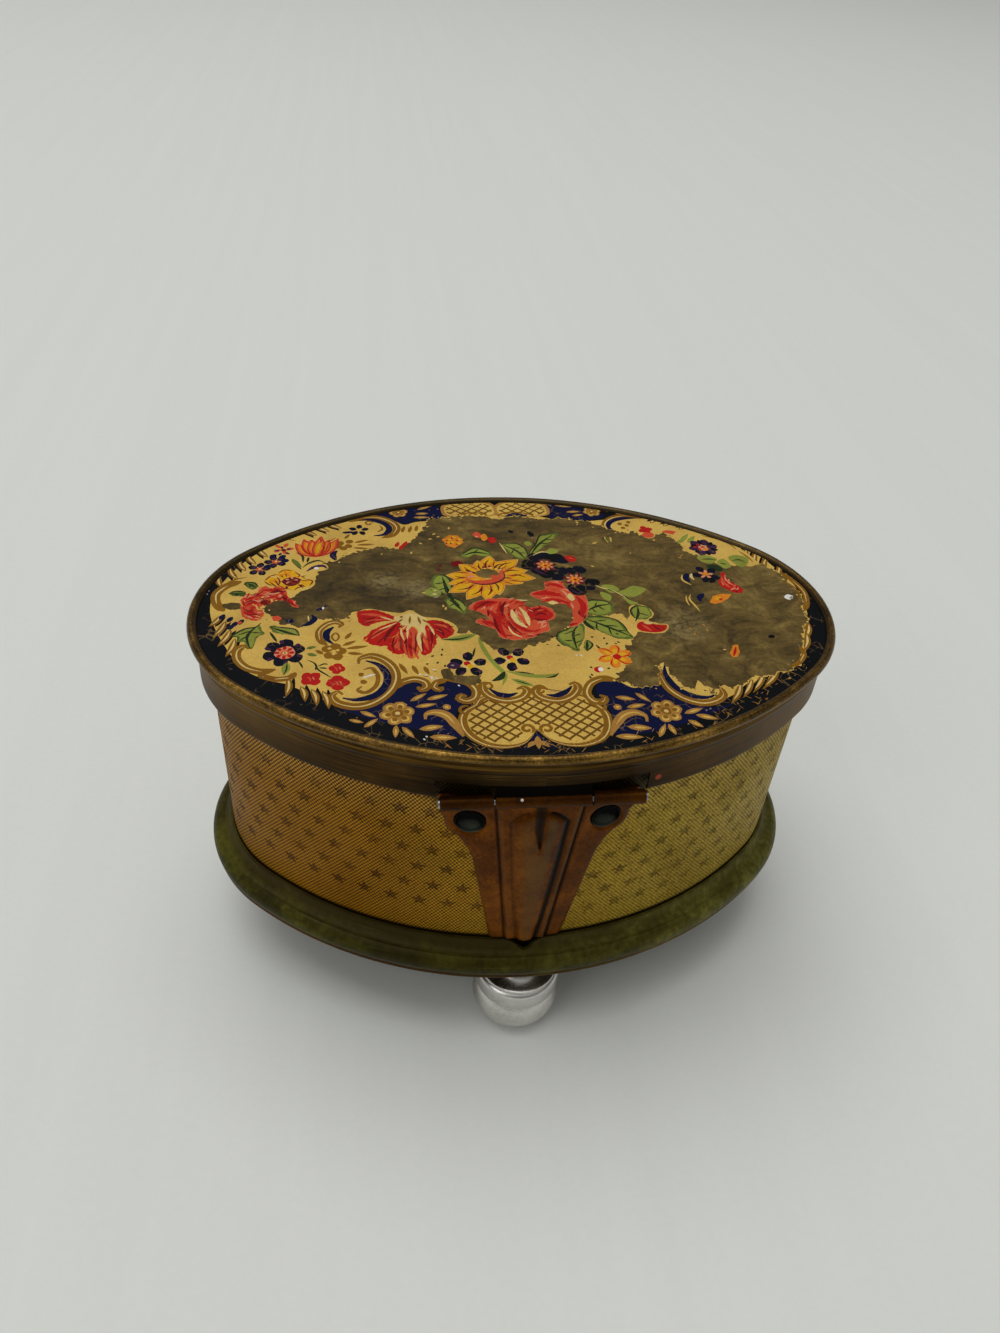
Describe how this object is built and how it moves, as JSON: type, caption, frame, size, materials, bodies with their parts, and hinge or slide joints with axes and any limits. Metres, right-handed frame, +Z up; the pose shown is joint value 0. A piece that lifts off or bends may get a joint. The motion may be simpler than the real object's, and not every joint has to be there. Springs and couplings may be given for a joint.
{
  "type": "trinket box",
  "caption": "Oval metal trinket box with a printed, hinged lid, a patterned sheet wall, a moulded base rim and turned feet.",
  "frame": {"origin": "on the floor, under the middle of the box", "axes": "+Z up, +X along the lid's width, -Y towards the hinge side, +Y towards the opening side"},
  "size_m": [0.1234, 0.0862, 0.0771],
  "materials": {
    "printed_tin": "printed and lacquered, worn through to bare metal in places",
    "rim_brass": "rubbed bright along the edge",
    "dark_bronze": "darkened, with fine scratches",
    "copper_lacquer": "copper-brown lacquer, rubbed on the raised parts",
    "steel": "zinc plated",
    "rivet_steel": "dished and darkened",
    "star_sheet": "fine diamond mesh pattern with dark stars",
    "patina_brass": "green and brown patina",
    "pan_tin": "dull",
    "silver": "polished",
    "card": "plain grey-brown board",
    "velvet": "short pile"
  },
  "bodies": {
    "body": {"hinge_pin": "steel", "body_hinge_leaf": "copper_lacquer", "hinge_rivets": "rivet_steel", "side_wall": "star_sheet", "wall_lining": "velvet", "floor_board": "card", "floor_cloth": "velvet", "base_rim": "patina_brass", "base_pan": "pan_tin", "foot_back": "silver", "foot_front": "silver", "foot_left": "silver", "foot_right": "silver", "foot_studs": "steel", "foot_washers": "steel", "foot_nuts": "steel"},
    "lid": {"lid_panel": "printed_tin", "lid_rim": "rim_brass", "lid_skirt": "dark_bronze", "lid_card": "card", "lid_lining": "velvet", "lid_hinge_leaf": "copper_lacquer"}
  },
  "joints": [
    {"name": "lid_hinge", "type": "hinge", "parent": "body", "child": "lid", "pos_m": [0, -0.0387, 0.0654], "axis": [1, 0, 0], "range_deg": [0, 168]}
  ]
}
